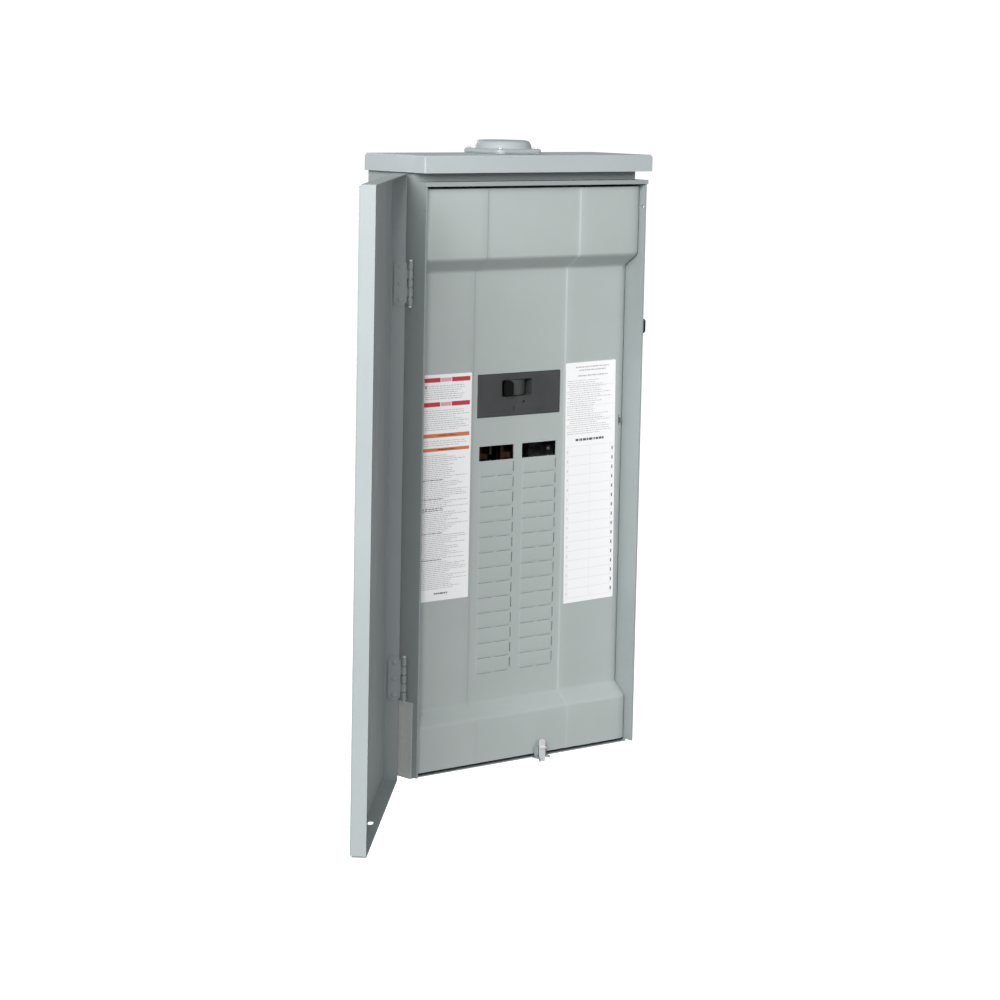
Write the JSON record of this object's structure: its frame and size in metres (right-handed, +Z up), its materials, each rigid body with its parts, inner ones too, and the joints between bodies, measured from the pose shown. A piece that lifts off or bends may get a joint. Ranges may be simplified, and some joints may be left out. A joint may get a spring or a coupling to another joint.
{
  "type": "residential load center",
  "caption": "Rainproof wall-mounted electrical load center with hood, hinged cover, stepped deadfront, main breaker and branch spaces.",
  "frame": {"origin": "middle of the enclosure's back face, where it meets the wall", "axes": "+X to the right seen from the front, +Y back into the wall, +Z up"},
  "size_m": [0.6531, 0.3504, 0.7791],
  "materials": {
    "hood_paint": "light grey baked enamel, satin",
    "enclosure_paint": "light grey baked enamel, satin",
    "cover_paint": "light grey baked enamel, satin",
    "deadfront_paint": "light grey baked enamel, satin",
    "zinc_plate": "bright zinc plate",
    "galvanized_steel": "plain galvanized sheet",
    "bus_copper": "dull copper-coloured bar",
    "bus_aluminium": "tin-plated aluminium",
    "breaker_plastic": "moulded, fine texture",
    "black_plastic": "moulded, satin",
    "black_rubber": "matt",
    "green_zinc": "green coated screw",
    "label_paper": "printed self-adhesive label"
  },
  "bodies": {
    "enclosure": {"enclosure_box": "enclosure_paint", "hinge_box_leaf_upper": "enclosure_paint", "hinge_box_leaf_lower": "enclosure_paint", "rain_hood": "hood_paint", "hub_closing_plate": "cover_paint", "deadfront_trim": "deadfront_paint", "hub_plate_screw_1": "zinc_plate", "hub_plate_screw_2": "zinc_plate", "hub_plate_screw_3": "zinc_plate", "hub_plate_screw_4": "zinc_plate", "trim_clip_left": "zinc_plate", "trim_clip_right": "zinc_plate", "pan_screw_1": "zinc_plate", "pan_screw_2": "zinc_plate", "pan_screw_3": "zinc_plate", "pan_screw_4": "zinc_plate", "line_screw_left": "zinc_plate", "line_screw_right": "zinc_plate", "neutral_lug_screw": "zinc_plate", "hinge_pin_upper": "zinc_plate", "hinge_pin_lower": "zinc_plate", "interior_pan": "galvanized_steel", "latch_bracket": "galvanized_steel", "side_stiffener": "galvanized_steel", "bus_bar_left": "bus_copper", "bus_bar_right": "bus_copper", "neutral_bar_left": "bus_aluminium", "neutral_bar_right": "bus_aluminium", "neutral_strap": "bus_aluminium", "line_lug_left": "bus_aluminium", "line_lug_right": "bus_aluminium", "neutral_lug": "bus_aluminium", "ground_bar": "bus_aluminium", "main_breaker_case": "breaker_plastic", "bus_insulator": "black_plastic", "hub_gasket": "black_rubber", "cover_bumper": "black_rubber", "bonding_screw": "green_zinc", "warning_label": "label_paper", "circuit_directory": "label_paper"},
    "cover": {"door_panel": "cover_paint", "hinge_door_leaf_upper": "cover_paint", "hinge_door_leaf_lower": "cover_paint"},
    "main_handle": {"main_breaker_handle": "black_plastic"},
    "latch": {"cover_latch": "zinc_plate"}
  },
  "joints": [
    {"name": "cover_swing", "type": "hinge", "parent": "enclosure", "child": "cover", "pos_m": [-0.1856, -0.0884, 0], "axis": [0, 0, 1], "range_deg": [-30, 134.5]},
    {"name": "main_breaker_throw", "type": "hinge", "parent": "enclosure", "child": "main_handle", "pos_m": [-0.0044, -0.0515, 0.0908], "axis": [0, 0, 1], "range_deg": [0, 56]},
    {"name": "latch_lift", "type": "slide", "parent": "enclosure", "child": "latch", "axis": [0, 0, 1], "range_m": [0, 0.0045], "stiffness_N_per_m": 120, "springref_m": -0.004}
  ]
}
